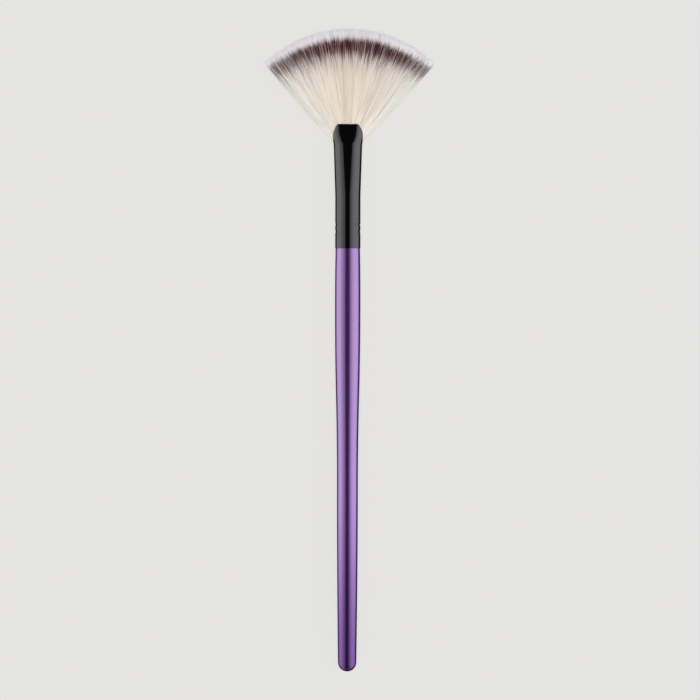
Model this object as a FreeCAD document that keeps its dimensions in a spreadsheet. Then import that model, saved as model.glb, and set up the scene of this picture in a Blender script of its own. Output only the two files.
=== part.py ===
"""Fan makeup brush, lying flat: a turned and lacquered handle, a metal ferrule crimped on it and
pressed from round to flat at its mouth, the glue inside, and the hair spread into a fan.

Every piece is drawn about the brush's long axis, Y. Y = 0 is the ferrule's rear edge, where it
meets the handle's shoulder. The handle runs to -Y and the hair to +Y, X is the width of the fan
and Z its thickness. One placement then lays the whole brush on Z = 0, with the middle of its
length over the origin.
"""

import FreeCAD, Part
import math
import os

import Sketcher

# Driving sizes in millimetres, with angles in degrees and counts as plain numbers
SIZES = [
    # Handle
    ("handle_length", 125.0, "ferrule edge to the end of the round tail"),
    ("shoulder_dia", 7.18, "handle where it meets the ferrule"),
    ("belly_dia", 7.5, "thickest part of the handle"),
    ("belly_front", 14.0, "ferrule edge to the front of the belly"),
    ("belly_back", 18.0, "ferrule edge to its back"),
    ("waist_dia", 6.18, "where the slim shank begins"),
    ("waist_back", 70.0, "ferrule edge to the shank"),
    ("tail_dia", 5.4, "shank where the round tail starts"),
    ("tenon_length", 12.6, "spigot inside the ferrule"),
    ("tenon_chamfer", 0.6, "lead-in at the end of the spigot"),
    # Ferrule
    ("barrel_dia", 7.44, "outside of the round tube"),
    ("tube_wall", 0.3, "sheet thickness"),
    ("ferrule_length", 36.7, "rear edge to the tips of the lips"),
    ("edge_chamfer", 0.1, "broken rear edge"),
    ("round_length", 15.6, "rear edge to where the pressing starts"),
    ("press_angle", 3.0, "half the angle of the pressed flats where they start"),
    ("crease_back", 5.5, "lips back to the crease under the mouth"),
    ("crease_width", 8.42, "across the crease"),
    ("crease_flat", 1.6, "width of the two flats there"),
    ("mouth_width", 9.4, "across the mouth before it is trimmed"),
    ("mouth_flat", 4.9, "width of the two flats there"),
    ("mouth_ease", 3.5, "how soon the mouth takes its full width"),
    ("arch_width", 9.24, "across the foot of the arch"),
    ("arch_radius", 5.8, "rounded ends of each lip"),
    ("lip_straight", 6.4, "straight part of each lip"),
    ("slit_back", 4.4, "lips back to the foot of the side slits"),
    ("slit_gap", 1.8, "width of the side slits"),
    # Crimp rings
    ("crimp_first", 4.96, "rear edge to the first ring"),
    ("crimp_pitch", 2.07, "from ring to ring"),
    ("crimp_width", 1.2, "width of the rolled groove"),
    ("crimp_depth", 0.12, "how deep it is rolled"),
    # Fits
    ("tenon_clearance", 0.03, "spigot in the tube"),
    ("fill_clearance", 0.05, "glue and hair in the tube"),
    # Hair
    ("bundle_back", 3.4, "lips back to where the bundle starts to spread"),
    ("fan_reach", 28.3, "lips to the tips, on the centre line"),
    ("fan_angle", 85.0, "between the two straight sides"),
    ("apex_back", 10.4, "lips back to where the sides would meet"),
    ("tip_radius", 33.0, "arc of the tips"),
    ("foot_rise", 0.6, "foot of the slits to the lowest hair"),
    ("foot_width", 9.4, "across the lowest hair"),
    ("flare_width", 17.1, "across the hair where it has spread"),
    ("flare_rise", 2.6, "lowest hair up to there"),
    ("flare_end", 6.3, "lowest hair up to the straight sides"),
    ("root_thickness", 2.3, "hair between the lips"),
    ("swell_thickness", 3.2, "thickest part of the hair"),
    ("swell_out", 6.5, "lips to the thickest part"),
    ("tip_thickness", 1.0, "hair at the tips"),
    ("edge_thinning", 0.65, "share of it lost at the sides"),
    ("lock_count", 40, "locks across the fan"),
    ("lock_groove", 0.26, "depth between two locks"),
    ("tip_notch", 0.5, "depth between two tips"),
]


class Size:
    """A number kept with the formula that gives it from the sheet."""

    def __init__(self, value, formula):
        self.value = value
        self.formula = formula

    def joined(self, sign, other, flipped=False):
        if not isinstance(other, Size):
            other = Size(float(other), str(other))
        left, right = (other, self) if flipped else (self, other)
        if sign == "+":
            value = left.value + right.value
        elif sign == "-":
            value = left.value - right.value
        elif sign == "*":
            value = left.value * right.value
        else:
            value = left.value / right.value
        return Size(value, f"({left.formula} {sign} {right.formula})")

    def __add__(self, other):
        return self.joined("+", other)

    def __radd__(self, other):
        return self.joined("+", other, flipped=True)

    def __sub__(self, other):
        return self.joined("-", other)

    def __rsub__(self, other):
        return self.joined("-", other, flipped=True)

    def __mul__(self, other):
        return self.joined("*", other)

    def __rmul__(self, other):
        return self.joined("*", other, flipped=True)

    def __truediv__(self, other):
        return self.joined("/", other)

    def __neg__(self):
        return Size(-self.value, f"(-1 * {self.formula})")


def root_of(size):
    return Size(math.sqrt(size.value), f"sqrt({size.formula})")


def power(base, exponent):
    return Size(base ** exponent.value, f"({base}) ^ {exponent.formula}")


def larger(one, other):
    return Size(max(one.value, other.value), f"max({one.formula}; {other.formula})")


def cosine(degrees):
    return Size(math.cos(math.radians(degrees.value)), f"cos({degrees.formula})")


def sine(degrees):
    return Size(math.sin(math.radians(degrees.value)), f"sin({degrees.formula})")


def make_sheet(doc):
    """Writes the driving sizes into the sheet and returns each as a Size."""
    sheet = doc.addObject("Spreadsheet::Sheet", "sizes")
    for row, (alias, value, note) in enumerate(SIZES, start=1):
        sheet.set(f"A{row}", note)
        sheet.set(f"B{row}", str(value))
        sheet.setAlias(f"B{row}", alias)
    doc.recompute()
    return {alias: Size(float(getattr(sheet, alias)), f"sizes.{alias}") for alias, _, _ in SIZES}


def bind(thing, prop, size):
    thing.setExpression(prop, size.formula)


def new_body(doc, name):
    body = doc.addObject("PartDesign::Body", name)
    body.Label = name
    return body


def new_sketch(body, name, role, along=None):
    """A sketch on an origin plane of the body, or at Y = along, parallel to the XZ plane."""
    sketch = body.newObject("Sketcher::SketchObject", name)
    plane = next(f for f in body.Origin.OriginFeatures if f.Role == role)
    sketch.AttachmentSupport = [(plane, "")]
    sketch.MapMode = "FlatFace"
    if along is not None:
        bind(sketch, "AttachmentOffset.Base.z", -along)
    return sketch


def dimension(sketch, kind, where, size):
    """Adds a dimension between the places in where and binds it."""
    index = sketch.addConstraint(Sketcher.Constraint(kind, *where, size.value))
    bind(sketch, f"Constraints[{index}]", size)


# How a sketch counts the places on its geometry: start, end and centre, and its own origin
START_INDEX, END_INDEX, CENTRE_INDEX = 1, 2, 3
ORIGIN_INDEX = (-1, START_INDEX)


def pin_point(sketch, geometry, place, point):
    """Ties a point of a sketch to its two coordinates."""
    for kind, size in (("DistanceX", point[0]), ("DistanceY", point[1])):
        if size.value == 0:
            axis = -2 if kind == "DistanceX" else -1
            sketch.addConstraint(Sketcher.Constraint("PointOnObject", geometry, place, axis))
        else:
            dimension(sketch, kind, (*ORIGIN_INDEX, geometry, place), size)


def vector(point):
    return FreeCAD.Vector(point[0].value, point[1].value, 0)


def add_line(sketch, start, end):
    return sketch.addGeometry(Part.LineSegment(vector(start), vector(end))), START_INDEX, END_INDEX


def add_arc(sketch, start, end, centre, radius):
    """An arc between two points. The centre is where the arc is first drawn about."""
    about = vector(centre)
    first, last = [math.atan2((p - about).y, (p - about).x) for p in (vector(start), vector(end))]
    turned = (last - first) % (2 * math.pi) > math.pi
    if turned:
        first, last = last, first
    circle = Part.Circle(about, FreeCAD.Vector(0, 0, 1), radius.value)
    arc = sketch.addGeometry(Part.ArcOfCircle(circle, first, last))
    dimension(sketch, "Radius", (arc,), radius)
    return (arc, END_INDEX, START_INDEX) if turned else (arc, START_INDEX, END_INDEX)


def draw_outline(sketch, start, steps):
    """Draws a closed outline from start, through the steps and back, by a straight line if they
    don't end at the start."""
    here = start
    ends = []
    closing = [] if steps[-1][1] is start else [("line", start)]
    for step in steps + closing:
        kind, point = step[0], step[1]
        if kind == "line":
            piece = add_line(sketch, here, point)
        else:
            piece = add_arc(sketch, here, point, step[2], step[3])
        ends.append(piece)
        if point is not start:
            pin_point(sketch, piece[0], piece[2], point)
        here = point
    for before, after in zip(ends, ends[1:] + ends[:1]):
        sketch.addConstraint(Sketcher.Constraint("Coincident", before[0], before[2], after[0], after[1]))
    pin_point(sketch, ends[0][0], ends[0][1], start)


def revolve(body, name, sketch):
    feature = body.newObject("PartDesign::Revolution", name)
    feature.Profile = (sketch, [""])
    feature.ReferenceAxis = (sketch, ["V_Axis"])
    feature.Angle = 360
    return feature


def pocket_through(body, name, sketch):
    feature = body.newObject("PartDesign::Pocket", name)
    feature.Profile = (sketch, [""])
    feature.Type = "ThroughAll"
    feature.SideType = "Symmetric"
    return feature


def loft(body, name, kind, sections):
    feature = body.newObject(f"PartDesign::{kind}", name)
    feature.Profile = (sections[0], [""])
    feature.Sections = [(section, [""]) for section in sections[1:]]
    feature.Ruled = True
    return feature


def crimp_steps(kept, surface, order):
    """The crimp rings along a line at the radius of a surface: two slopes to each ring."""
    side = 1 if order[0] < order[-1] else -1
    half = kept["crimp_width"] / 2
    steps = []
    for number in order:
        middle = kept["crimp_first"] + number * kept["crimp_pitch"]
        steps.append(("line", (surface, middle - side * half)))
        steps.append(("line", (surface - kept["crimp_depth"], middle)))
        steps.append(("line", (surface, middle + side * half)))
    return steps


def level_arc_radius(run, drop):
    """Radius of an arc that starts level and falls by drop over run."""
    return (run * run + drop * drop) / (2 * drop)


# Turns a sketch about its own vertical
UP_THE_SKETCH = FreeCAD.Vector(0, 1, 0)


def make_handle(doc, kept):
    """A turned stick: spigot, shoulder, belly, slim shank and round tail, in one revolved outline."""
    body = new_body(doc, "handle")
    axis = Size(0.0, "0")
    end = kept["handle_length"]
    spigot = kept["barrel_dia"] / 2 - kept["tube_wall"] - kept["tenon_clearance"]
    shoulder, belly = kept["shoulder_dia"] / 2, kept["belly_dia"] / 2
    waist, tail = kept["waist_dia"] / 2, kept["tail_dia"] / 2
    belly_y, waist_y = -kept["belly_back"], -kept["waist_back"]
    half_run = (kept["waist_back"] - kept["belly_back"]) / 2
    half_drop = (belly - waist) / 2
    nose_radius = level_arc_radius(kept["belly_front"], belly - shoulder)
    taper_radius = level_arc_radius(half_run, half_drop)
    shank_radius = level_arc_radius(end - tail - kept["waist_back"], waist - tail)

    sketch = new_sketch(body, "handle_outline", "XY_Plane")
    # The half outline hangs down from the axis, so the turning starts and ends underneath
    sketch.AttachmentOffset = FreeCAD.Placement(FreeCAD.Vector(), FreeCAD.Rotation(UP_THE_SKETCH, 90))
    draw_outline(sketch, (axis, kept["tenon_length"]), [
        ("line", (spigot - kept["tenon_chamfer"], kept["tenon_length"])),
        ("line", (spigot, kept["tenon_length"] - kept["tenon_chamfer"])),
        *crimp_steps(kept, spigot, [1, 0]),
        ("line", (spigot, axis)),
        ("line", (shoulder, axis)),
        ("arc", (belly, -kept["belly_front"]), (belly - nose_radius, -kept["belly_front"]), nose_radius),
        ("line", (belly, belly_y)),
        ("arc", (belly - half_drop, belly_y - half_run), (belly - taper_radius, belly_y), taper_radius),
        ("arc", (waist, waist_y), (waist + taper_radius, waist_y), taper_radius),
        ("arc", (tail, tail - end), (waist - shank_radius, waist_y), shank_radius),
        ("arc", (axis, -end), (axis, tail - end), tail),
    ])
    revolve(body, "handle_turned", sketch)
    return body


# Strips in which each half round of a pressed section is drawn, and steps of the mouth
SIDE_STRIPS = 8
MOUTH_STEPS = 4


def draw_section(body, name, place, radius, centre, spared, curved):
    """Two half rounds of strips, joined above and below. Where the section is still round, an
    angle is spared at both ends of each, and the centre is zero."""
    sketch = new_sketch(body, name, "XZ_Plane", place)
    zero = Size(0.0, "0")
    points = []
    for side in (1, -1):
        for strip in range(SIDE_STRIPS + 1):
            angle = (strip / SIDE_STRIPS - 0.5) * (180 - 2 * spared)
            points.append((side * (centre + radius * cosine(angle)), side * radius * sine(angle)))
    steps = []
    for number, point in enumerate(points[1:] + points[:1], start=1):
        joining = number % (SIDE_STRIPS + 1) == 0
        side = 1 if number <= SIDE_STRIPS else -1
        if not curved or (joining and centre.value > 0):
            steps.append(("line", point))
        else:
            about = (zero, zero) if joining else (side * centre, zero)
            steps.append(("arc", point, about, radius))
    draw_outline(sketch, points[0], steps)
    return sketch


def round_section(body, name, kept, inset, curved):
    """The tube's round where the pressing starts."""
    radius = kept["barrel_dia"] / 2 - inset
    return draw_section(body, name, kept["round_length"], radius, Size(0.0, "0"), kept["press_angle"], curved)


def pressed_section(body, name, place, width, flat, inset, curved):
    """A pressed section of two flats and two half rounds."""
    radius = (width - flat) / 2 - inset
    return draw_section(body, name, place, radius, flat / 2, Size(0.0, "0"), curved)


def press(body, kept, inset, word, kind, curved):
    """The pressed tube at an inset from its outside: straight from round to crease, then on to
    the lips, widening fast and then less. Hidden sides are drawn with straight strips."""
    crease_at = kept["ferrule_length"] - kept["crease_back"]
    crease = (kept["crease_width"], kept["crease_flat"])
    mouth = (kept["mouth_width"], kept["mouth_flat"])
    round_end = round_section(body, f"{word}_round", kept, inset, curved)
    crease_end = pressed_section(body, f"{word}_crease", crease_at, *crease, inset, curved)
    loft(body, f"{word}_shank", kind, [round_end, crease_end])
    sections = []
    for step in range(MOUTH_STEPS + 1):
        share = step / MOUTH_STEPS
        to_go = power(1 - share, kept["mouth_ease"])
        place = crease_at + kept["crease_back"] * share
        width, flat = [full - (full - least) * to_go for full, least in zip(mouth, crease)]
        sections.append(pressed_section(body, f"{word}_mouth_{step}", place, width, flat, inset, curved))
    loft(body, f"{word}_mouth", kind, sections)


def make_ferrule(doc, kept):
    """A thin tube: round with two crimp rings, then pressed flat, arched and slit at the mouth."""
    body = new_body(doc, "ferrule")
    wall = kept["tube_wall"]
    barrel = kept["barrel_dia"] / 2
    start, end = Size(0.0, "0"), kept["round_length"]
    chamfer = kept["edge_chamfer"]
    sketch = new_sketch(body, "tube_outline", "XY_Plane")
    draw_outline(sketch, (barrel - chamfer, start), [
        ("line", (barrel, chamfer)),
        *crimp_steps(kept, barrel, [0, 1]),
        ("line", (barrel, end)),
        ("line", (barrel - wall, end)),
        *crimp_steps(kept, barrel - wall, [1, 0]),
        ("line", (barrel - wall, start)),
    ])
    revolve(body, "tube", sketch)
    press(body, kept, start, "outside", "AdditiveLoft", curved=True)
    press(body, kept, wall, "inside", "SubtractiveLoft", curved=False)
    trim_arch(body, kept)
    cut_slits(body, kept)
    return body


def trim_arch(body, kept):
    """Rounds both ends of the lips, seen from the flat side."""
    radius = kept["arch_radius"]
    centre_x = kept["arch_width"] / 2 - radius
    run = kept["lip_straight"] / 2 - centre_x
    foot = kept["ferrule_length"] - root_of(radius * radius - run * run)
    past = kept["ferrule_length"] + radius
    for side in (1, -1):
        sketch = new_sketch(body, f"arch_{'right' if side > 0 else 'left'}", "XY_Plane")
        outside = side * (kept["mouth_width"] / 2 + radius)
        draw_outline(sketch, (side * kept["arch_width"] / 2, foot), [
            ("arc", (side * kept["lip_straight"] / 2, kept["ferrule_length"]),
             (side * centre_x, foot), radius),
            ("line", (side * kept["lip_straight"] / 2, past)),
            ("line", (outside, past)),
            ("line", (outside, foot)),
        ])
        pocket_through(body, f"trim_{'right' if side > 0 else 'left'}", sketch)


def cut_slits(body, kept):
    """Opens both sides of the mouth, with a round foot, so that the hair can spread."""
    half = kept["slit_gap"] / 2
    zero = Size(0.0, "0")
    foot = kept["ferrule_length"] - kept["slit_back"]
    centre_y = foot + half
    past = kept["ferrule_length"] + kept["slit_gap"]
    sketch = new_sketch(body, "slit_outline", "YZ_Plane")
    draw_outline(sketch, (centre_y, half), [
        ("arc", (foot, zero), (centre_y, zero), half),
        ("arc", (centre_y, -half), (centre_y, zero), half),
        ("line", (past, -half)),
        ("line", (past, half)),
    ])
    pocket_through(body, "slits", sketch)


def make_glue(doc, kept):
    """The disc of set glue between the spigot and the hair."""
    body = new_body(doc, "glue_plug")
    sketch = new_sketch(body, "glue_outline", "XY_Plane")
    edge = kept["barrel_dia"] / 2 - kept["tube_wall"] - kept["fill_clearance"]
    zero = Size(0.0, "0")
    draw_outline(sketch, (zero, kept["tenon_length"]), [
        ("line", (edge, kept["tenon_length"])),
        ("line", (edge, kept["round_length"])),
        ("line", (zero, kept["round_length"])),
    ])
    revolve(body, "glue_set", sketch)
    return body


def make_hair_root(doc, kept):
    """The bundle inside the ferrule, which takes the tube's own inside up to the flat mouth."""
    body = new_body(doc, "hair_root")
    inset = kept["tube_wall"] + kept["fill_clearance"]
    press(body, kept, inset, "bundle", "AdditiveLoft", curved=False)
    sketch = new_sketch(body, "bundle_top", "XY_Plane")
    side, past = kept["mouth_width"], kept["ferrule_length"] + kept["mouth_width"]
    bundle_end = kept["ferrule_length"] - kept["bundle_back"]
    draw_outline(sketch, (side, bundle_end), [
        ("line", (side, past)),
        ("line", (-side, past)),
        ("line", (-side, bundle_end)),
    ])
    pocket_through(body, "bundle_cut", sketch)
    return body


class Fan:
    """The spread hair: rays from one apex, of a thickness that depends on reach and angle."""

    SPARE_LOCKS = 3
    THINNEST = 0.3

    def __init__(self, kept):
        number = {name: size.value for name, size in kept.items()}
        self.number = number
        self.apex = number["ferrule_length"] - number["apex_back"]
        self.half_angle = math.radians(number["fan_angle"] / 2)
        self.locks = int(number["lock_count"])
        self.foot = number["ferrule_length"] - number["slit_back"] + number["foot_rise"]
        self.tip_centre = number["ferrule_length"] + number["fan_reach"] - number["tip_radius"]

    def angle_of(self, half_lock):
        """The angle of a ridge (even) or of the groove beside it (odd)."""
        return -self.half_angle + half_lock * self.half_angle / self.locks

    def thickness(self, reach, angle):
        """The full thickness at a distance from the apex: even, swelling, then thinning."""
        number = self.number
        lips, swell = number["apex_back"], number["apex_back"] + number["swell_out"]
        tips = number["apex_back"] + number["fan_reach"]
        if reach <= lips:
            full = number["root_thickness"]
        elif reach <= swell:
            share = (reach - lips) / (swell - lips)
            full = number["root_thickness"] * (1 - share) + number["swell_thickness"] * share
        else:
            share = (reach - swell) / (tips - swell)
            full = number["swell_thickness"] * (1 - share) + number["tip_thickness"] * share
        thinned = full * (1 - number["edge_thinning"] * (angle / self.half_angle) ** 2)
        return max(thinned, self.THINNEST)

    def section(self, place):
        """The pleated section at Y = place, once round."""
        upper, lower = [], []
        spare = 2 * self.SPARE_LOCKS
        for half_lock in range(-spare, 2 * self.locks + spare + 1):
            angle = self.angle_of(half_lock)
            reach = (place - self.apex) / math.cos(angle)
            full = self.thickness(reach, angle)
            groove = self.number["lock_groove"] * full / self.number["swell_thickness"]
            even, odd = (0, groove) if half_lock % 2 == 0 else (groove, 0)
            across = reach * math.sin(angle)
            upper.append(FreeCAD.Vector(across, place, full / 2 - even))
            lower.append(FreeCAD.Vector(across, place, odd - full / 2))
        return upper + lower[::-1]

    def tip(self, half_lock):
        """Where a ray ends: on the arc of the tips, or short of it in a notch."""
        angle = self.angle_of(half_lock)
        back = self.tip_centre - self.apex
        reach = back * math.cos(angle)
        reach += math.sqrt(self.number["tip_radius"] ** 2 - (back * math.sin(angle)) ** 2)
        reach -= self.number["tip_notch"] * (half_lock % 2)
        return FreeCAD.Vector(reach * math.sin(angle), self.apex + reach * math.cos(angle), 0)

    def outline(self):
        """The fan from its flat side: foot, flare, straight side and notched tips."""
        number = self.number
        tips = [self.tip(half_lock) for half_lock in range(2 * self.locks + 1)]
        side_x = tips[-1].x - (tips[-1].y - self.foot - number["flare_end"]) * math.tan(self.half_angle)
        edges = []
        for side in (1, -1):
            foot = FreeCAD.Vector(side * number["foot_width"] / 2, self.foot, 0)
            flared = FreeCAD.Vector(side * number["flare_width"] / 2, self.foot + number["flare_rise"], 0)
            straight = FreeCAD.Vector(side * side_x, self.foot + number["flare_end"], 0)
            corner = tips[-1] if side > 0 else tips[0]
            edges.append(Part.Arc(foot, flared, straight).toShape())
            edges.append(Part.makeLine(straight, corner))
        for before, after in zip(tips, tips[1:]):
            edges.append(Part.makeLine(before, after))
        left_foot = FreeCAD.Vector(-number["foot_width"] / 2, self.foot, 0)
        right_foot = FreeCAD.Vector(number["foot_width"] / 2, self.foot, 0)
        edges.append(Part.makeLine(left_foot, right_foot))
        return Part.Wire(Part.__sortEdges__(edges))


def make_fan(doc, kept):
    """Pleated sections joined by straight rays, cut to the fan's outline."""
    fan = Fan(kept)
    number = fan.number
    lips = number["ferrule_length"]
    end = lips + number["fan_reach"] + number["tip_notch"]
    swell = lips + number["swell_out"]
    places = [fan.foot - number["foot_rise"], lips, swell, end]
    sections = []
    for index, place in enumerate(places, start=1):
        polygon = doc.addObject("Part::Polygon", f"locks_{index}")
        polygon.Nodes = fan.section(place)
        polygon.Close = True
        sections.append(polygon)
    locks = doc.addObject("Part::Loft", "locks")
    locks.Sections = sections
    locks.Solid = True
    locks.Ruled = True
    outline = doc.addObject("Part::Feature", "fan_edge")
    outline.Shape = fan.outline()
    cutter = doc.addObject("Part::Extrusion", "fan_cutter")
    cutter.Base = outline
    cutter.DirMode = "Custom"
    cutter.Dir = FreeCAD.Vector(0, 0, 1)
    bind(cutter, "LengthFwd", kept["swell_thickness"])
    bind(cutter, "LengthRev", kept["swell_thickness"])
    cutter.Solid = True
    spread = doc.addObject("Part::Common", "spread_hair")
    spread.Base = locks
    spread.Tool = cutter
    return spread


def make_tuft(doc, kept):
    """All the hair in one: the bundle in the ferrule and the fan that it opens into."""
    root = make_hair_root(doc, kept)
    spread = make_fan(doc, kept)
    tuft = doc.addObject("Part::Fuse", "bristle_tuft")
    tuft.Label = "bristle_tuft"
    tuft.Base = root
    tuft.Tool = spread
    return tuft


def lay_down(pieces, kept):
    """Lays the brush on Z = 0 on its widest round, with the middle of its length at Y = 0."""
    middle = (kept["ferrule_length"] + kept["fan_reach"] - kept["handle_length"]) / 2
    widest = larger(kept["belly_dia"], kept["barrel_dia"])
    for piece in pieces:
        bind(piece, "Placement.Base.y", -middle)
        bind(piece, "Placement.Base.z", widest / 2)


def export(doc, pieces):
    """Checks every object of the document and every piece, then writes one file to a piece."""
    for thing in doc.Objects:
        if "Invalid" in thing.State or "Error" in thing.State:
            raise RuntimeError(f"{thing.Name} did not build: {thing.State}")
    os.makedirs("parts", exist_ok=True)
    for piece in pieces:
        shape = piece.Shape
        if shape.isNull() or not shape.isValid() or not shape.Solids:
            raise RuntimeError(f"{piece.Label} has no sound solid")
        shape.exportStep(os.path.join("parts", f"{piece.Label}.step"))
        print(f"{piece.Label}: {shape.Volume:.2f} mm3, {len(shape.Solids)} solid, {len(shape.Faces)} faces")


def main():
    doc = FreeCAD.newDocument("fan_brush")
    kept = make_sheet(doc)
    pieces = [make_handle(doc, kept), make_ferrule(doc, kept), make_glue(doc, kept), make_tuft(doc, kept)]
    lay_down(pieces, kept)
    doc.recompute()
    export(doc, pieces)


main()
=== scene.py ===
import math

import bmesh
import bpy
import numpy as np
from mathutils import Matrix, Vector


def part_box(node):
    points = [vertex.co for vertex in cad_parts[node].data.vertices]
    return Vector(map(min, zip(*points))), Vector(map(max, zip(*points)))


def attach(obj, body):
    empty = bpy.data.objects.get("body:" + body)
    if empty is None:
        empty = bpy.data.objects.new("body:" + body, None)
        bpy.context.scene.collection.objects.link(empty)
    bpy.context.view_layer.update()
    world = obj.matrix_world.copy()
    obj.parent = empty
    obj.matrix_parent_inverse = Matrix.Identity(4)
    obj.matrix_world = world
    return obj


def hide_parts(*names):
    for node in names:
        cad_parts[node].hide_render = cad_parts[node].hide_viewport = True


# fan makeup brush, lying flat, seen straight from above
# lengths in the dictionaries are millimetres where nothing else is said, "back" and
# "ahead" are counted from the rear edge of the ferrule, along the brush

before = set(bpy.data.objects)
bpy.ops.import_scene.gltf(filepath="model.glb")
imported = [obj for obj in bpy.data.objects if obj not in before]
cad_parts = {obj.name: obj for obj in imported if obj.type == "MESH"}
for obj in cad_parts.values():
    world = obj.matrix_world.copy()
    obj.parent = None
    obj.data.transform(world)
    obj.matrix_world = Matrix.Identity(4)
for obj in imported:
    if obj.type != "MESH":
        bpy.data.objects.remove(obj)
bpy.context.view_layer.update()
mm = 0.001

ferruleLow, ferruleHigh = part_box("ferrule")
handleLow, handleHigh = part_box("handle")
edgeY = ferruleLow[1]  # rear edge of the ferrule
lipsY = ferruleHigh[1]  # front of its lips
tailY = handleLow[1]
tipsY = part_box("bristle_tuft")[1][1]
axisZ = (handleLow[2] + handleHigh[2]) / 2
print("brush", round((tipsY - tailY) / mm, 1), "mm long, axis", round(axisZ / mm, 2), "mm up")


def meshFrom(name, points, faces, smooth=True):
    # points in metres
    mesh = bpy.data.meshes.new(name)
    mesh.from_pydata([tuple(p) for p in points], [], [tuple(f) for f in faces])
    mesh.validate()
    mesh.polygons.foreach_set("use_smooth", [smooth] * len(mesh.polygons))
    piece = bpy.data.objects.new(name, mesh)
    bpy.context.scene.collection.objects.link(piece)
    return piece


def dress(piece, material, slotName, *nodes):
    piece.data.materials.clear()
    piece.data.materials.append(material)
    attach(piece, "root")
    if nodes:
        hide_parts(*nodes)


class Nodes:
    # short words for adding and joining the nodes of a material or a world
    def __init__(self, owner):
        owner.use_nodes = True
        self.owner = owner
        self.tree = owner.node_tree
        self.shader = self.tree.nodes.get("Principled BSDF")

    def add(self, kind, **settings):
        node = self.tree.nodes.new(kind)
        for key, value in settings.items():
            if hasattr(node, key):
                setattr(node, key, value)
            else:
                node.inputs[key.replace("_", " ")].default_value = value
        return node

    def join(self, source, target):
        self.tree.links.new(source, target)

    def give(self, values):
        # numbers, or outputs of other nodes, for the inputs of the surface
        for name, value in values.items():
            if isinstance(value, (int, float)):
                self.shader.inputs[name].default_value = value
            else:
                self.join(value, self.shader.inputs[name])

    def objectPlace(self):
        return self.add("ShaderNodeTexCoord").outputs["Object"]

    def stretched(self, place, scale):
        node = self.add("ShaderNodeMapping", Scale=scale)
        self.join(place, node.inputs["Vector"])
        return node.outputs[0]

    def noise(self, place, scale, detail):
        node = self.add("ShaderNodeTexNoise", Scale=scale, Detail=detail)
        self.join(place, node.inputs["Vector"])
        return node.outputs["Fac"]

    def split(self, vector):
        node = self.add("ShaderNodeSeparateXYZ")
        self.join(vector, node.inputs[0])
        return node.outputs

    def bump(self, height, strength, distance):
        node = self.add("ShaderNodeBump", Strength=strength, Distance=distance)
        self.join(height, node.inputs["Height"])
        self.give({"Normal": node.outputs[0]})

    def eased(self, value, low, high, least=0.0, most=1.0):
        # from least at low to most at high
        node = self.add("ShaderNodeMapRange", interpolation_type="SMOOTHSTEP")
        names = ("From Min", "From Max", "To Min", "To Max")
        for name, amount in zip(names, (low, high, least, most)):
            node.inputs[name].default_value = amount
        self.join(value, node.inputs["Value"])
        return node.outputs[0]

    def mixedShaders(self, share, first, second):
        node = self.add("ShaderNodeMixShader")
        for socket, source in zip(node.inputs, (share, first, second)):
            self.join(source, socket)
        return node.outputs[0]

    def maths(self, operation, first, second=None):
        node = self.add("ShaderNodeMath", operation=operation)
        for socket, value in zip(node.inputs, (first, second)):
            if value is None:
                continue
            if isinstance(value, (int, float)):
                socket.default_value = value
            else:
                self.join(value, socket)
        return node.outputs[0]

    def mixed(self, share, first, second):
        node = self.add("ShaderNodeMix", data_type="RGBA")
        self.join(share, node.inputs[0])
        for socket, value in zip((node.inputs[6], node.inputs[7]), (first, second)):
            if isinstance(value, tuple):
                socket.default_value = (*value, 1)
            else:
                self.join(value, socket)
        return node.outputs[2]

    def ramp(self, share, stops):
        node = self.add("ShaderNodeValToRGB")
        scale = node.color_ramp.elements
        scale.remove(scale[1])
        scale[0].position = stops[0][0]
        scale[0].color = (*stops[0][1], 1)
        for place, colour in stops[1:]:
            stop = scale.new(place)
            stop.color = (*colour, 1)
        self.join(share, node.inputs[0])
        return node.outputs[0]


# handle

handle = {
    "shoulderDia": 7.18,
    "bellyDia": 7.5,
    "bellyFront": 14.0,
    "bellyBack": 18.0,
    "waistDia": 6.18,
    "waistBack": 70.0,
    "tailDia": 5.4,
    "edgeRound": 0.12,  # lacquer drawn back from the shoulder's edge
    "spigotDia": 6.78,
    "spigotLength": 12.6,
    "spigotBevel": 0.6,
    "sides": 128,
    "ringStep": 1.0,
    "spigotRings": 44,
    "tailRings": 20,
    "lacquer": (0.33, 0.085, 0.60),
    "flakeTint": (0.48, 0.17, 0.82),
    "flakeShare": 0.34,
    "flakeScale": 9000.0,
    "grainShare": 0.3,
    "grainStretch": (900, 22, 900),
    "cloudScale": 260.0,
    "peelScale": 1400.0,
    "tailShade": (0.20, 0.05, 0.39),  # painted shade: the lacquer darkens to this towards the tail, where less light fell
    "roughness": 0.4,
    "coatIor": 2.9,  # a hard, bright gloss over the flakes
    "coatRoughness": 0.035,
    "tailFade": (68.0, 122.0),  # between these it darkens with painted shade and the gloss fades
    "coatLeft": 0.35,
}

# the rings rolled into the ferrule, which sink into the spigot too
crimps = {
    "count": 2,
    "first": 4.96,
    "pitch": 2.07,
    "width": 1.2,
    "depth": 0.12,
}


def crimpDip(ahead):
    # how deep the rolled rings sink the surface, in mm
    dip = 0.0
    for number in range(crimps["count"]):
        off = (ahead - crimps["first"] - number * crimps["pitch"]) / (crimps["width"] / 2)
        if abs(off) < 1:
            dip += crimps["depth"] * (0.5 + 0.5 * math.cos(math.pi * off))
    return dip


def easeBetween(share):
    # level at both ends, two arcs that meet half way
    return 2 * share * share if share < 0.5 else 1 - 2 * (1 - share) ** 2


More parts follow.
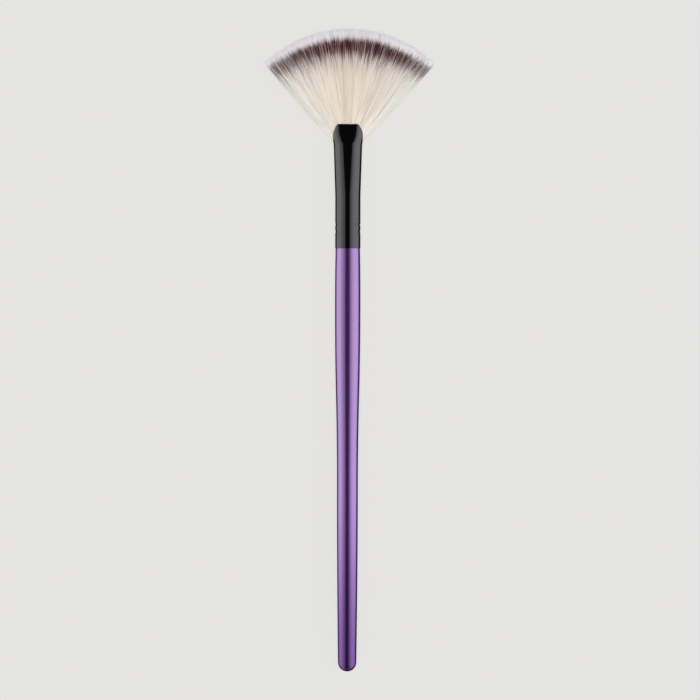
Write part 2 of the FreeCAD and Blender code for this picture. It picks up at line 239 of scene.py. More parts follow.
def handleRadius(back):
    shoulder, belly = handle["shoulderDia"] / 2, handle["bellyDia"] / 2
    waist, tail = handle["waistDia"] / 2, handle["tailDia"] / 2
    tailBack = (edgeY - tailY) / mm - tail
    if back < handle["bellyFront"]:
        return belly - (belly - shoulder) * (1 - back / handle["bellyFront"]) ** 2
    if back < handle["bellyBack"]:
        return belly
    if back < handle["waistBack"]:
        share = (back - handle["bellyBack"]) / (handle["waistBack"] - handle["bellyBack"])
        return belly - (belly - waist) * easeBetween(share)
    share = (back - handle["waistBack"]) / (tailBack - handle["waistBack"])
    return waist - (waist - tail) * share * share


def lathe(name, rings, sides):
    # rings are (y, radius) in metres about the brush's axis, the first and last are points
    points = [(0, rings[0][0], axisZ)]
    for y, radius in rings[1:-1]:
        for side in range(sides):
            turn = 2 * math.pi * side / sides
            points.append((radius * math.cos(turn), y, axisZ + radius * math.sin(turn)))
    points.append((0, rings[-1][0], axisZ))
    faces = []
    last = len(points) - 1
    rows = len(rings) - 2
    for side in range(sides):
        after = (side + 1) % sides
        faces.append((0, 1 + side, 1 + after))
        for row in range(rows - 1):
            here, there = 1 + row * sides, 1 + (row + 1) * sides
            faces.append((here + side, there + side, there + after, here + after))
        end = 1 + (rows - 1) * sides
        faces.append((last, end + after, end + side))
    return meshFrom(name, points, faces)


def makeHandle():
    tail = handle["tailDia"] / 2
    full = (edgeY - tailY) / mm
    spigot = handle["spigotDia"] / 2
    tip = handle["spigotLength"]
    bevel = handle["spigotBevel"]
    soft = handle["edgeRound"]
    rings = [(tip, 0), (tip, spigot - bevel), (tip - bevel, spigot)]
    for step in range(handle["spigotRings"]):
        ahead = (tip - bevel - 0.2) * (1 - step / (handle["spigotRings"] - 1))
        rings.append((ahead, spigot - crimpDip(ahead)))
    rings += [(0, spigot), (0, handleRadius(0) - soft * 1.5), (0, handleRadius(0) - soft)]
    for step in range(1, 5):
        turn = math.pi / 2 * step / 4
        rings.append((-soft * (1 - math.cos(turn)), handleRadius(0) - soft * (1 - math.sin(turn))))
    steps = int((full - tail) / handle["ringStep"])
    for step in range(1, steps + 1):
        back = soft + (full - tail - soft) * step / steps
        rings.append((-back, handleRadius(back)))
    for step in range(1, handle["tailRings"]):
        turn = math.pi / 2 * step / handle["tailRings"]
        rings.append((-(full - tail) - tail * math.sin(turn), tail * math.cos(turn)))
    rings.append((-full, 0))
    return lathe("handleTurned", [(edgeY + ahead * mm, r * mm) for ahead, r in rings], handle["sides"])


def purpleLacquer():
    kit = Nodes(bpy.data.materials.new("purpleLacquer"))
    place = kit.objectPlace()
    flakes = kit.add("ShaderNodeTexVoronoi", feature="F1", Scale=handle["flakeScale"])
    kit.join(place, flakes.inputs["Vector"])
    cloud = kit.noise(place, handle["cloudScale"], 3.0)
    grain = kit.noise(kit.stretched(place, handle["grainStretch"]), 1.0, 4.0)
    peel = kit.noise(place, handle["peelScale"], 1.0)

    # metal flakes and a faint trace of the wood's grain under the lacquer
    sparkle = kit.maths("MULTIPLY", flakes.outputs["Color"], handle["flakeShare"])
    share = kit.maths("ADD", sparkle, kit.maths("MULTIPLY", grain, handle["grainShare"]))
    share = kit.maths("MULTIPLY", share, kit.maths("ADD", cloud, 0.35))
    colour = kit.mixed(share, handle["lacquer"], handle["flakeTint"])
    # towards the tail the colour goes over to painted shade, and the coat thins
    front, back = handle["tailFade"]
    ahead = kit.eased(kit.split(place)[1], edgeY - back * mm, edgeY - front * mm)
    coat = kit.maths("MULTIPLY", ahead, 1 - handle["coatLeft"])
    kit.give({
        "Base Color": kit.mixed(ahead, handle["tailShade"], colour),
        "Metallic": 1.0,
        "Roughness": kit.maths("ADD", kit.maths("MULTIPLY", cloud, 0.06), handle["roughness"] - 0.03),
        "Coat Weight": kit.maths("ADD", coat, handle["coatLeft"]),
        "Coat Roughness": handle["coatRoughness"],
        "Coat IOR": handle["coatIor"],
    })
    kit.bump(kit.maths("ADD", kit.maths("MULTIPLY", peel, 0.4), grain), 0.06, 0.05 * mm)
    return kit.owner


dress(makeHandle(), purpleLacquer(), "handle_lacquer", "handle")
print("handle turned")


# ferrule

ferrule = {
    "barrelDia": 7.44,
    "wall": 0.3,
    "edgeRound": 0.1,
    "roundLength": 15.6,
    "creaseBack": 5.8,  # these are counted back from the lips
    "creaseWidth": 8.42,
    "creaseFlat": 1.6,
    "mouthWidth": 9.34,
    "mouthFlat": 4.4,
    "mouthEase": 2.7,
    "archWidth": 9.14,
    "archRadius": 6.1,
    "lipStraight": 6.1,
    "slitBack": 4.4,
    "slitGap": 1.8,
    "lipRound": 0.07,
    "lipsBack": 0.12,  # the rim is rolled and polished back by this much
    "columns": 40,  # across a quarter of the tube
    "mouthRows": 44,
    "crimpRows": 48,
    "shankRows": 40,
    "nickel": (0.122, 0.120, 0.130),
    "rubbed": (0.158, 0.155, 0.160),
    "rubScale": 420.0,
    "drawnStretch": (5200, 60, 5200),  # fine lines along the tube
    "roughness": 0.07,
}
lipsAhead = (lipsY - edgeY) / mm - ferrule["lipsBack"]
creaseAhead = lipsAhead - ferrule["creaseBack"]
slitAhead = lipsAhead - ferrule["slitBack"]


def pressedSection(ahead):
    # radius of the two half rounds and how far off the middle they stand
    barrel = ferrule["barrelDia"] / 2
    if ahead <= ferrule["roundLength"]:
        return barrel - crimpDip(ahead), 0.0
    if ahead <= creaseAhead:
        share = (ahead - ferrule["roundLength"]) / (creaseAhead - ferrule["roundLength"])
        creaseRadius = (ferrule["creaseWidth"] - ferrule["creaseFlat"]) / 2
        return barrel + (creaseRadius - barrel) * share, ferrule["creaseFlat"] / 2 * share
    share = min((ahead - creaseAhead) / ferrule["creaseBack"], 1)
    toGo = (1 - share) ** ferrule["mouthEase"]
    width = ferrule["mouthWidth"] - (ferrule["mouthWidth"] - ferrule["creaseWidth"]) * toGo
    flat = ferrule["mouthFlat"] - (ferrule["mouthFlat"] - ferrule["creaseFlat"]) * toGo
    return (width - flat) / 2, flat / 2


def slitHeight(ahead):
    # half the slit's gap, with its round foot
    half = ferrule["slitGap"] / 2
    past = ahead - slitAhead
    if past <= 0:
        return 0.0
    if past >= half:
        return half
    return math.sqrt(half * half - (half - past) ** 2)


def sectionPoint(ahead, share, inset):
    # share 0 is the side of the tube, or the slit's edge, and 1 the middle of its flat
    radius, centre = pressedSection(ahead)
    radius -= inset
    start = radius * math.asin(min(slitHeight(ahead) / radius, 1))
    girth = math.pi / 2 * radius + centre
    along = start + (girth - start) * share
    turn = along / radius
    if turn < math.pi / 2:
        return centre + radius * math.cos(turn), radius * math.sin(turn)
    return girth - along, radius


def rimAhead(share):
    # where the arched rim cuts this column
    radius = ferrule["archRadius"]
    middle = ferrule["archWidth"] / 2 - radius
    flat = ferrule["lipStraight"] / 2
    foot = lipsAhead - math.sqrt(radius * radius - (flat - middle) ** 2)
    ahead = lipsAhead
    for _ in range(30):  # it settles well before that
        across = sectionPoint(ahead, share, 0)[0]
        if across <= flat:
            reach = lipsAhead
        else:
            reach = foot + math.sqrt(max(radius * radius - (across - middle) ** 2, 0))
        ahead = (ahead + reach) / 2
    return ahead


def makeFerrule():
    wall, soft = ferrule["wall"], ferrule["edgeRound"]
    shares = [column / ferrule["columns"] for column in range(ferrule["columns"] + 1)]
    # stations up the outside: rear edge, crimps, barrel, shank, then the mouth to the rim
    fixed = [(0.0, wall), (0.0, soft), (soft * 0.3, soft * 0.3), (soft, 0.0)]
    fixed += [(0.4 + 0.5 * step, 0.0) for step in range(8)]
    first = crimps["first"] - crimps["width"]
    last = crimps["first"] + crimps["pitch"] * (crimps["count"] - 1) + crimps["width"]
    count = ferrule["crimpRows"]
    fixed += [(first + (last - first) * step / count, 0.0) for step in range(1, count + 1)]
    fixed += [(last + (ferrule["roundLength"] - last) * step / 10, 0.0) for step in range(1, 11)]
    shank = creaseAhead - ferrule["roundLength"]
    count = ferrule["shankRows"]
    fixed += [(ferrule["roundLength"] + shank * step / count, 0.0) for step in range(1, count + 1)]
    slitShare = (slitAhead - creaseAhead) / (rimAhead(0.0) - creaseAhead)
    climbs = {step / ferrule["mouthRows"] for step in range(1, ferrule["mouthRows"])}
    climbs = sorted(climbs | {slitShare})
    bend = ferrule["lipRound"]
    grid = []
    for share in shares:
        rim = rimAhead(share)
        rise = rim - creaseAhead
        outside = [(creaseAhead + rise * climb, 0.0) for climb in climbs]
        lip = [(rim - bend, 0.0), (rim - bend * 0.3, bend * 0.3), (rim, bend)]
        lip += [(rim, wall - bend), (rim - bend, wall)]
        # back down the inside, to a little past the crease
        inside = [(ahead, wall) for ahead, _ in reversed(outside)]
        inside += [(creaseAhead - step * 2.0, wall) for step in range(4)]
        outside = [(min(ahead, rim - bend * 1.2), inset) for ahead, inset in outside]
        grid.append(fixed + outside + lip + inside)
    rows = len(grid[0])
    points = []
    faces = []
    for flipX in (1, -1):
        for flipZ in (1, -1):
            base = len(points)
            for share, column in zip(shares, grid):
                for ahead, inset in column:
                    across, up = sectionPoint(ahead, share, inset)
                    points.append((flipX * across * mm, edgeY + ahead * mm, axisZ + flipZ * up * mm))
            turned = flipX * flipZ < 0
            for column in range(len(shares) - 1):
                for row in range(rows - 1):
                    corner = base + column * rows + row
                    face = (corner, corner + rows, corner + rows + 1, corner + 1)
                    faces.append(face[::-1] if turned else face)
            # the slit's edge, across the wall
            crease = len(fixed) - 1
            back = crease + len(climbs) * 2 + 5
            for step in range(len(climbs) + 1):
                outer = base + crease + step
                inner = base + back - step
                face = (outer, outer + 1, inner - 1, inner)
                if grid[0][crease + step][0] >= slitAhead - 1e-6:
                    faces.append(face[::-1] if turned else face)
    piece = meshFrom("ferruleTube", points, faces)
    weld(piece, 0.000002)
    sharpen(piece, 40)
    return piece


def weld(piece, reach):
    work = bmesh.new()
    work.from_mesh(piece.data)
    bmesh.ops.remove_doubles(work, verts=work.verts, dist=reach)
    bmesh.ops.dissolve_degenerate(work, edges=work.edges, dist=reach / 4)
    bmesh.ops.recalc_face_normals(work, faces=work.faces)
    work.to_mesh(piece.data)
    work.free()


def sharpen(piece, degrees):
    # hard edges only where faces meet at more than this
    piece.data.polygons.foreach_set("use_smooth", [True] * len(piece.data.polygons))
    piece.data.set_sharp_from_angle(angle=math.radians(degrees))


def blackNickel():
    kit = Nodes(bpy.data.materials.new("blackNickel"))
    place = kit.objectPlace()
    lines = kit.noise(kit.stretched(place, ferrule["drawnStretch"]), 1.0, 3.0)
    haze = kit.noise(place, ferrule["rubScale"], 4.0)
    rough = kit.maths("ADD", kit.maths("MULTIPLY", haze, 0.08), ferrule["roughness"] - 0.04)
    kit.give({
        "Base Color": kit.mixed(kit.maths("MULTIPLY", haze, 0.6), ferrule["nickel"], ferrule["rubbed"]),
        "Metallic": 1.0,
        "Roughness": kit.maths("ADD", rough, kit.maths("MULTIPLY", lines, 0.05)),
    })
    kit.bump(lines, 0.05, 0.03 * mm)
    return kit.owner


dress(makeFerrule(), blackNickel(), "ferrule_metal", "ferrule")
print("ferrule pressed")


# glue, which stays as the CAD solid

glue = {
    "amber": (0.50, 0.36, 0.13),
    "thin": (0.62, 0.47, 0.22),
    "cloudScale": 900.0,
    "roughness": 0.25,
}


def amberGlue():
    kit = Nodes(bpy.data.materials.new("amberGlue"))
    cloud = kit.noise(kit.objectPlace(), glue["cloudScale"], 3.0)
    tone = kit.mixed(cloud, glue["amber"], glue["thin"])
    kit.give({"Base Color": tone, "Roughness": glue["roughness"]})
    return kit.owner


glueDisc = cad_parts["glue_plug"]
glueDisc.data.materials.clear()
glueDisc.data.materials.append(amberGlue())
print("glue coloured")


# hair

hair = {
    "apexBack": 10.4,  # from the lips back to where the rays meet
    "halfAngle": 41.3,  # degrees
    "turned": 0.65,  # degrees that the fan leans over to its right
    "tipRadius": 36.5,
    "leftTrim": 0.4,  # cut this much shorter at its left corner
    "rootAhead": 30.2,  # where the hairs start, inside the ferrule
    "rootSqueeze": 0.9,
    "rootHalf": 4.1,
    "spreadAhead": 39.2,  # where the outermost hairs reach their straight ray
    "rootThick": 2.8,
    "swellThick": 3.2,
    "swellOut": 6.5,
    "tipThick": 0.9,
    "sideThin": 0.65,
    "pieces": 4,
    "perPiece": 1000,
    "ribbons": 440,  # of the solid body of hair under the loose ones
    "bodySide": 0.995,  # of the fan's half angle
    "bodyShort": 0.25,
    "bodyShare": 0.84,  # of the fan's thickness
    "sunk": 0.06,  # the loose hairs lie from this share under the body's face
    "proud": 0.04,  # to this share over the fan's
    "rings": 11,  # along each hair
    "bentRings": 5,  # of them on the bend out of the ferrule
    "leave": 2.2,  # how straight the bend starts
    "arrive": 4.2,  # and ends
    "gather": 0.12,  # how far hairs draw together into locks
    "stray": 0.14,  # how far a tip leaves its line
    "strayAside": 0.004,
    "sway": 0.05,
    "width": 0.085,
    "widthSpread": 0.2,
    "tipWidth": 0.02,
    "taper": 9.0,  # length of the pointed end
    "longer": 0.25,  # than the arc of the tips, before they are made uneven
    "ragged": 0.25,
    "lockRagged": 0.2,
    "locks": 130,
    "shades": 32,  # of hair, laid side by side in the bake map
    "groups": 4,  # sets of shades, from the middle of the fan out to its sides
    "length": 38.0,  # what the bake map's height stands for
    "cream": (0.93, 0.83, 0.715),
    "creamAside": (0.85, 0.835, 0.785),
    "milk": (0.80, 0.70, 0.645),
    "milkAside": (0.77, 0.745, 0.72),
    "mauve": (0.73, 0.585, 0.61),
    "pale": (0.88, 0.87, 0.905),
    "dull": (0.70, 0.61, 0.54),
    "dullShare": 0.12,
    "brown": (0.052, 0.009, 0.010),
    "russet": (0.12, 0.036, 0.036),
    "bandTop": 2.0,  # the brown band, from here down from the tip
    "topRagged": 1.1,
    "topAside": 1.5,  # it is this much nearer the tip at the sides of the fan
    "topSoft": 1.1,
    "bandFoot": 6.5,  # to here at least
    "footRagged": 6.0,
    "footAside": 2.2,
    "footSoft": 2.2,
    "faint": 0.8,  # share of the dye that the palest hairs lack
    "faintAside": 0.3,
    "undyed": 0.75,  # and that the last shade lacks
    "undyedFrom": 0.95,  # level of a wave over the locks, 1 for none
    "undyedHairs": 0.85,  # share of the hairs there
    "roughness": 0.38,
    "specular": 0.1,
}
hairColumns = hair["shades"] * hair["groups"]


def fanThickness(reach, side):
    # reach is from the apex in mm, side runs from -1 to 1 across the fan
    lips = hair["apexBack"]
    swell = lips + hair["swellOut"]
    tips = lips + (tipsY - lipsY) / mm
    sizes = [hair["rootThick"], hair["rootThick"], hair["swellThick"], hair["tipThick"]]
    thick = np.interp(reach, [0, lips, swell, tips], sizes)
    return thick * (1 - hair["sideThin"] * side ** 2)


def hairPaths(side, depth, shorten, stray, bend):
    # centre lines of hairs, a row of points each, in millimetres about the brush's axis
    rings = hair["rings"]
    bentRings = hair["bentRings"]
    apex = lipsAhead - hair["apexBack"]
    lock = np.sin(side * hair["locks"] * 0.5 + 2.0 * np.sin(side * 9)) * hair["gather"] / hair["locks"]
    place = np.clip(side + lock + stray * hair["strayAside"], -1.0, 1.0)
    angle = np.radians(hair["halfAngle"]) * place
    lean = angle + np.radians(hair["turned"]) * np.cos(side * math.pi / 4)
    sine, cosine = np.sin(lean), np.cos(lean)

    tipCentre = (tipsY - edgeY) / mm - hair["tipRadius"] - apex
    straight = tipCentre * np.sin(angle)
    tipReach = tipCentre * np.cos(angle) + np.sqrt(hair["tipRadius"] ** 2 - straight ** 2) - shorten
    tipReach -= hair["leftTrim"] * np.clip(-side, 0, 1)

    # out of the ferrule on a bend, then straight on
    rootX = np.clip(np.tan(angle) * (hair["rootAhead"] - apex) * hair["rootSqueeze"],
                    -hair["rootHalf"], hair["rootHalf"])
    root = np.stack([rootX, np.full(len(side), hair["rootAhead"])], axis=1)
    joinReach = (hair["spreadAhead"] - apex) / np.cos(np.radians(hair["halfAngle"]))
    joint = np.stack([sine * joinReach, apex + cosine * joinReach], axis=1)
    leave = root + np.stack([np.sin(angle * 0.55), np.cos(angle * 0.55)], axis=1) * hair["leave"]
    arrive = joint - np.stack([sine, cosine], axis=1) * hair["arrive"]
    tip = np.stack([sine * tipReach, apex + cosine * tipReach], axis=1)

    lines = np.zeros((len(side), rings, 3))
    for ring in range(rings):
        if ring <= bentRings:
            t = ring / bentRings
            flat = ((1 - t) ** 3 * root + 3 * (1 - t) ** 2 * t * leave
                    + 3 * (1 - t) * t ** 2 * arrive + t ** 3 * joint)
        else:
            t = (ring - bentRings) / (rings - 1 - bentRings)
            flat = joint + (tip - joint) * t
        lines[:, ring, :2] = flat
    # each hair bends a little of its own over the free length
    free = np.clip((np.arange(rings) - 3) / (rings - 4), 0, 1)
    sway = (stray * hair["stray"])[:, None] * free ** 2 + bend[:, None] * np.sin(free * math.pi)
    lines[:, :, 0] += cosine[:, None] * sway
    lines[:, :, 1] -= sine[:, None] * sway
    reach = np.hypot(lines[:, :, 0], lines[:, :, 1] - apex)
    half = fanThickness(reach, side[:, None]) / 2
    lines[:, :, 2] = depth[:, None] * half
    return lines


def shadeColumns(side, rng):
    # neighbours in a lock share much of their shade, and the band hangs lower in some
    lockTone = 0.5 + 0.5 * np.sin(side * hair["locks"] * 2.4 + 3.0 * np.sin(side * 23))
    shade = np.clip(0.5 * lockTone + 0.5 * rng.uniform(0, 1, len(side)), 0, 0.96)
    # some thin locks took hardly any dye, which is the last shade
    undyed = np.sin(side * hair["locks"] * 1.9 + 4.0 * np.sin(side * 31)) > hair["undyedFrom"]
    undyed &= rng.uniform(0, 1, len(side)) < hair["undyedHairs"]
    shade = np.where(undyed, 0.999, shade)
    group = np.abs(side) * (hair["groups"] - 1) + rng.uniform(0, 1, len(side))
    group = np.clip(group, 0, hair["groups"] - 0.001)
    return np.floor(group) * hair["shades"] + np.floor(shade * hair["shades"])


def downFromTips(lines):
    # length of hair from each ring to the tip
    steps = np.linalg.norm(np.diff(lines, axis=1), axis=2)
    down = np.cumsum(steps[:, ::-1], axis=1)[:, ::-1]
    return np.concatenate([down, np.zeros((len(lines), 1))], axis=1)


def quadMesh(name, points, faces, u, v):
    # points in mm about the brush's axis, u and v for each corner of each face
    points = points.reshape(-1, 3) * mm
    points[:, 1] += edgeY
    points[:, 2] += axisZ
    mesh = bpy.data.meshes.new(name)
    mesh.vertices.add(len(points))
    mesh.vertices.foreach_set("co", points.ravel())
    mesh.loops.add(faces.size)
    mesh.loops.foreach_set("vertex_index", faces.ravel())
    mesh.polygons.add(len(faces))
    mesh.polygons.foreach_set("loop_start", np.arange(0, faces.size, 4))
    mesh.update()
    mesh.polygons.foreach_set("use_smooth", np.ones(len(faces), dtype=bool))
    layer = mesh.uv_layers.new(name="OFBake")
    layer.data.foreach_set("uv", np.stack([u, v], axis=-1).astype(np.float32).ravel())
    piece = bpy.data.objects.new(name, mesh)
    bpy.context.scene.collection.objects.link(piece)
    return piece


def hairBody(name, rng):
    # the close hair under the loose ones: narrow ribbons side by side, above and below
    count = hair["ribbons"]
    side = np.linspace(-hair["bodySide"], hair["bodySide"], count + 1)
    shorten = hair["bodyShort"] + rng.gamma(1.5, 0.2, count + 1)
    none = np.zeros(count + 1)
    faces, us, vs, points = [], [], [], []
    columns = shadeColumns((side[1:] + side[:-1]) / 2, rng)
    for level in (1, -1):
        lines = hairPaths(side, none + level * hair["bodyShare"], shorten, none, none)
        rings = lines.shape[1]
        v = 1 - downFromTips(lines) / hair["length"]
        ribbon, ring = np.meshgrid(np.arange(count), np.arange(rings - 1), indexing="ij")
        base = len(points) * len(side) * rings
        corners = [(ribbon, ring), (ribbon, ring + 1), (ribbon + 1, ring + 1), (ribbon + 1, ring)]
        corners = corners if level < 0 else corners[::-1]
        faces.append(np.stack([base + r * rings + k for r, k in corners], axis=-1).reshape(-1, 4))
        vs.append(np.stack([v[r, k] for r, k in corners], axis=-1).reshape(-1, 4))
        # each ribbon stays inside its own column of the bake map
        across = np.stack([(r - ribbon) * 0.8 + 0.1 for r, k in corners], axis=-1)
        us.append(((columns[:, None, None] + across) / hairColumns).reshape(-1, 4))
        points.append(lines)
    # closed at the tips and along both sides
    rings = points[0].shape[1]
    lower = len(side) * rings
    rim = [(r * rings + rings - 1, (r + 1) * rings + rings - 1) for r in range(count)]
    rim += [(k, k + 1) for k in range(rings - 1)]
    rim += [(count * rings + k + 1, count * rings + k) for k in range(rings - 1)]
    rim = np.array(rim)
    faces.append(np.stack([rim[:, 0], rim[:, 1], rim[:, 1] + lower, rim[:, 0] + lower], axis=-1))
    v = (1 - downFromTips(points[0]) / hair["length"]).ravel()
    vs.append(np.stack([v[rim[:, 0]], v[rim[:, 1]], v[rim[:, 1]], v[rim[:, 0]]], axis=-1))
    own = np.repeat(rng.integers(0, hairColumns, len(rim))[:, None], 4, axis=1)
    us.append((own + 0.5) / hairColumns)
    parts = [np.concatenate(part) for part in (points, faces, us, vs)]
    return quadMesh(name, *parts)


def looseHair(name, rng, count):
    # single hairs with three sides, over and under the body
    side = rng.uniform(-1, 1, count)
    depth = rng.uniform(hair["bodyShare"] - hair["sunk"], 1 + hair["proud"], count)
    depth *= rng.choice([-1, 1], count)
    shorten = rng.gamma(1.3, hair["ragged"], count)
    shorten = shorten + hair["lockRagged"] * np.sin(side * hair["locks"] * 0.9) - hair["longer"]
    stray = rng.normal(0, 1, count)
    lines = hairPaths(side, depth, shorten, stray, rng.normal(0, hair["sway"], count))
    rings = lines.shape[1]
    along = np.gradient(lines, axis=1)
    along /= np.linalg.norm(along, axis=2, keepdims=True)
    across = np.cross(along, (0, 0, 1))
    across /= np.linalg.norm(across, axis=2, keepdims=True)
    over = np.cross(across, along)
    fromTip = downFromTips(lines)
    taper = np.clip(fromTip / hair["taper"], 0, 1) ** 0.6
    width = (hair["tipWidth"] + (hair["width"] - hair["tipWidth"]) * taper) / 2
    width *= rng.uniform(1 - hair["widthSpread"], 1 + hair["widthSpread"], count)[:, None]
    spin = rng.uniform(0, 2 * math.pi, count)[:, None]
    corners = []
    for corner in range(3):
        turn = spin + corner * 2 * math.pi / 3
        offset = across * np.cos(turn)[:, :, None] + over * np.sin(turn)[:, :, None]
        corners.append(lines + offset * width[:, :, None])
    counted = [np.arange(count), np.arange(rings - 1), np.arange(3)]
    strand, ring, corner = np.meshgrid(*counted, indexing="ij")
    after = (corner + 1) % 3
    base = (strand * rings + ring) * 3
    faces = np.stack([base + corner, base + after, base + 3 + after, base + 3 + corner], axis=-1)
    column = shadeColumns(side, rng)[:, None, None, None]
    u = (column + np.array([[0, 1, 1, 0]]) / 3 + corner[..., None] / 3) / hairColumns
    v = 1 - fromTip / hair["length"]
    vHere = np.broadcast_to(v[:, :-1, None], corner.shape)
    vNext = np.broadcast_to(v[:, 1:, None], corner.shape)
    vAll = np.stack([vHere, vHere, vNext, vNext], axis=-1)
    points = np.stack(corners, axis=2)
    return quadMesh(name, points, faces.reshape(-1, 4), u.reshape(-1, 4), vAll.reshape(-1, 4))


def threeToneHair():
    # cream, then a brown band with a ragged foot, then pale tips
    kit = Nodes(bpy.data.materials.new("threeToneHair"))

    def within(value):
        return kit.maths("MINIMUM", kit.maths("MAXIMUM", value, 0.0), 1.0)

    def chance(seed):
        node = kit.add("ShaderNodeTexWhiteNoise", noise_dimensions="1D")
        kit.join(seed, node.inputs["W"])
        return node.outputs["Value"]

    uv = kit.add("ShaderNodeUVMap", uv_map="OFBake").outputs[0]
    parts = kit.split(uv)
    column = kit.maths("FLOOR", kit.maths("MULTIPLY", parts[0], float(hairColumns)))
    group = kit.maths("FLOOR", kit.maths("DIVIDE", column, float(hair["shades"])))
    inGroup = kit.maths("SUBTRACT", column, kit.maths("MULTIPLY", group, float(hair["shades"])))
    shade = kit.maths("DIVIDE", inGroup, float(hair["shades"]))
    aside = kit.maths("DIVIDE", group, hair["groups"] - 1.0)
    farAside = kit.maths("MULTIPLY", aside, aside)
    own = chance(column)
    other = chance(kit.maths("ADD", column, 500.0))
    fromTip = kit.maths("MULTIPLY", kit.maths("SUBTRACT", 1.0, parts[1]), hair["length"])

    # where the band starts and ends on this hair
    ragged = kit.maths("MULTIPLY", own, hair["topRagged"])
    top = kit.maths("ADD", ragged, hair["bandTop"])
    top = kit.maths("SUBTRACT", top, kit.maths("MULTIPLY", farAside, hair["topAside"]))
    ragged = kit.maths("MULTIPLY", kit.maths("POWER", shade, 1.8), hair["footRagged"])
    foot = kit.maths("ADD", ragged, hair["bandFoot"])
    foot = kit.maths("SUBTRACT", foot, kit.maths("MULTIPLY", farAside, hair["footAside"]))
    risen = kit.maths("DIVIDE", kit.maths("SUBTRACT", fromTip, top), hair["topSoft"])
    toFoot = kit.maths("SUBTRACT", kit.maths("ADD", foot, 1.0), fromTip)
    fallen = kit.maths("DIVIDE", toFoot, hair["footSoft"])
    inBand = kit.maths("MULTIPLY", within(risen), within(fallen))
    # some hairs took less dye, more of them at the sides, and the last shade hardly any
    faint = kit.maths("MULTIPLY", kit.maths("POWER", other, 16.0), hair["faint"])
    paler = kit.maths("MULTIPLY", kit.maths("POWER", farAside, 2.0), hair["faintAside"])
    dyed = kit.maths("SUBTRACT", 1.06, kit.maths("ADD", faint, paler))
    undyed = kit.maths("GREATER_THAN", shade, 0.95)
    dyed = kit.maths("SUBTRACT", dyed, kit.maths("MULTIPLY", undyed, hair["undyed"]))
    inBand = kit.maths("MULTIPLY", inBand, within(dyed))
    brown = kit.mixed(kit.maths("POWER", own, 2.0), hair["brown"], hair["russet"])

    deeper = kit.maths("DIVIDE", fromTip, hair["length"])
    middle = kit.ramp(deeper, [(0.0, hair["pale"]), (0.04, hair["pale"]), (0.085, hair["mauve"]),
                               (0.20, hair["milk"]), (0.42, hair["cream"]), (1.0, hair["cream"])])
    sides = kit.ramp(deeper, [(0.0, hair["pale"]), (0.07, hair["pale"]), (0.14, hair["milkAside"]),
                              (0.42, hair["creamAside"]), (1.0, hair["creamAside"])])
    ground = kit.mixed(farAside, middle, sides)
    toned = kit.mixed(kit.maths("MULTIPLY", own, hair["dullShare"]), ground, hair["dull"])
    kit.give({
        "Base Color": kit.mixed(inBand, toned, brown),
        "Roughness": kit.maths("ADD", kit.maths("MULTIPLY", own, 0.15), hair["roughness"]),
        "Specular IOR Level": hair["specular"],
    })
    return kit.owner


rng = np.random.default_rng(41)
hairShader = threeToneHair()
dress(hairBody("hairBody", rng), hairShader, "brush_hair", "bristle_tuft")
for number in range(hair["pieces"]):
    count = hair["perPiece"]
    dress(looseHair(f"hairLocks{number + 1}", rng, count), hairShader, "brush_hair", "bristle_tuft")
print("hair laid", hair["pieces"] + 1, "pieces")


# floor, light and camera

studio = {
    "paper": (0.775, 0.768, 0.753),
    "toothScale": 2500.0,
    "floorSize": 6.0,  # metres
    "shadowLift": 0.85,  # share of the floor that the camera sees as even backdrop
    # strength of the light by how far it stands to one side, from overhead (0) to level (1)
    "leftSide": [(0.0, 0.018), (0.375, 0.018), (0.40, 0.29), (0.54, 0.37),
                 (0.80, 0.60), (0.90, 0.80), (0.98, 1.0)],
    "rightSide": [(0.0, 0.018), (0.26, 0.018), (0.30, 0.21), (0.42, 0.38),
                  (0.52, 0.54), (0.70, 0.78), (0.93, 1.0)],
    "sideBlend": 0.12,
    "fillPower": 12.2,
    "fillUp": 1.2,  # metres
    "fillSize": 0.5,  # metres
    "lens": 135.0,
    "frameWidth": 206.9,  # mm across the picture, at the height of the brush
    "offCentre": 0.70,
    "forward": -0.02,
    "lean": 0.09,  # degrees
    "shadowStripMiddle": 1.75,  # painted shadow: a dark strip of floor along the brush, seen only in the gloss
    "shadowStripHalf": 13.5,
    "shadowStripSoft": 2.5,
    "shadowStripGlow": 0.03,
    "floorGlow": 0.95,
}


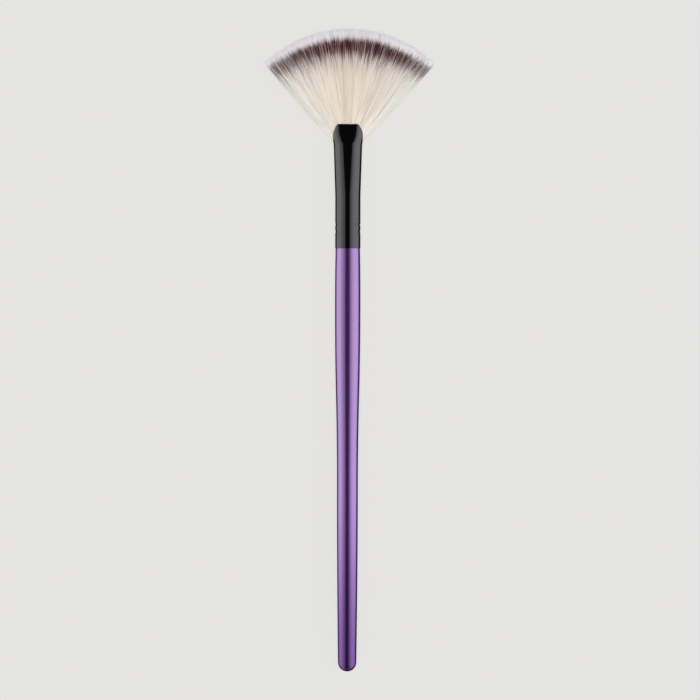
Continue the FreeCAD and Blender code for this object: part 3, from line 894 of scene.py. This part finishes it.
def makeFloor():
    half = studio["floorSize"] / 2
    corners = [(-half, -half, 0), (half, -half, 0), (half, half, 0), (-half, half, 0)]
    floor = meshFrom("floorSheet", corners, [(0, 1, 2, 3)], smooth=False)
    kit = Nodes(bpy.data.materials.new("floorPaper"))
    place = kit.objectPlace()
    pale = studio["paper"]
    tooth = kit.noise(place, studio["toothScale"], 2.0)
    tone = kit.mixed(tooth, pale, tuple(c * 0.995 for c in pale))
    kit.give({"Base Color": tone, "Roughness": 0.9, "Specular IOR Level": 0.0})
    even = kit.add("ShaderNodeEmission", Color=(*pale, 1))
    path = kit.add("ShaderNodeLightPath").outputs
    lift = kit.maths("MULTIPLY", path["Is Camera Ray"], studio["shadowLift"])
    lifted = kit.mixedShaders(lift, kit.shader.outputs[0], even.outputs[0])
    # in the gloss the floor is near white, past a painted shadow, a dark strip along the brush that
    # only reflections show
    off = kit.maths("SUBTRACT", kit.split(place)[0], studio["shadowStripMiddle"] * mm)
    near = (studio["shadowStripHalf"] - studio["shadowStripSoft"]) * mm
    far = (studio["shadowStripHalf"] + studio["shadowStripSoft"]) * mm
    glow = kit.eased(kit.maths("ABSOLUTE", off), near, far, studio["shadowStripGlow"], studio["floorGlow"])
    glossed = kit.add("ShaderNodeEmission")
    kit.join(glow, glossed.inputs["Strength"])
    floorLook = kit.mixedShaders(path["Is Glossy Ray"], lifted, glossed.outputs[0])
    kit.join(floorLook, kit.tree.nodes["Material Output"].inputs[0])
    floor.data.materials.append(kit.owner)


def makeDome():
    # soft light from both sides with a dark gap along the brush, and a pale backdrop to look at
    kit = Nodes(bpy.data.worlds.new("studioDome"))
    bpy.context.scene.world = kit.owner
    kit.tree.nodes.clear()
    across = kit.split(kit.add("ShaderNodeTexCoord").outputs["Generated"])[0]
    aside = kit.maths("ABSOLUTE", across)
    sides = []
    for side in ("leftSide", "rightSide"):
        sides.append(kit.ramp(aside, [(share, (glow, glow, glow)) for share, glow in studio[side]]))
    blend = kit.eased(across, -studio["sideBlend"], studio["sideBlend"])
    around = kit.add("ShaderNodeBackground")
    kit.join(kit.mixed(blend, *sides), around.inputs[0])
    seen = kit.add("ShaderNodeBackground", Color=(*studio["paper"], 1))
    path = kit.add("ShaderNodeLightPath").outputs
    dome = kit.mixedShaders(path["Is Camera Ray"], around.outputs[0], seen.outputs[0])
    kit.join(dome, kit.add("ShaderNodeOutputWorld").inputs[0])


def makeFill():
    # an even lamp above, too soft and far to show in the gloss
    light = bpy.data.lights.new("fillAbove", "AREA")
    light.size = studio["fillSize"]
    light.energy = studio["fillPower"]
    lamp = bpy.data.objects.new("fillAbove", light)
    lamp.location = (0, 0, studio["fillUp"])
    lamp.visible_glossy = False
    lamp.visible_camera = False
    bpy.context.scene.collection.objects.link(lamp)


def makeCamera():
    data = bpy.data.cameras.new("above")
    data.lens = studio["lens"]
    camera = bpy.data.objects.new("above", data)
    away = studio["frameWidth"] * mm * studio["lens"] / data.sensor_width
    camera.location = (studio["offCentre"] * mm, studio["forward"] * mm, axisZ + away)
    camera.rotation_euler = (0, 0, math.radians(studio["lean"]))
    bpy.context.scene.collection.objects.link(camera)
    bpy.context.scene.camera = camera


makeFloor()
makeDome()
makeFill()
makeCamera()
bpy.context.scene.view_settings.view_transform = "Standard"
print("studio set")
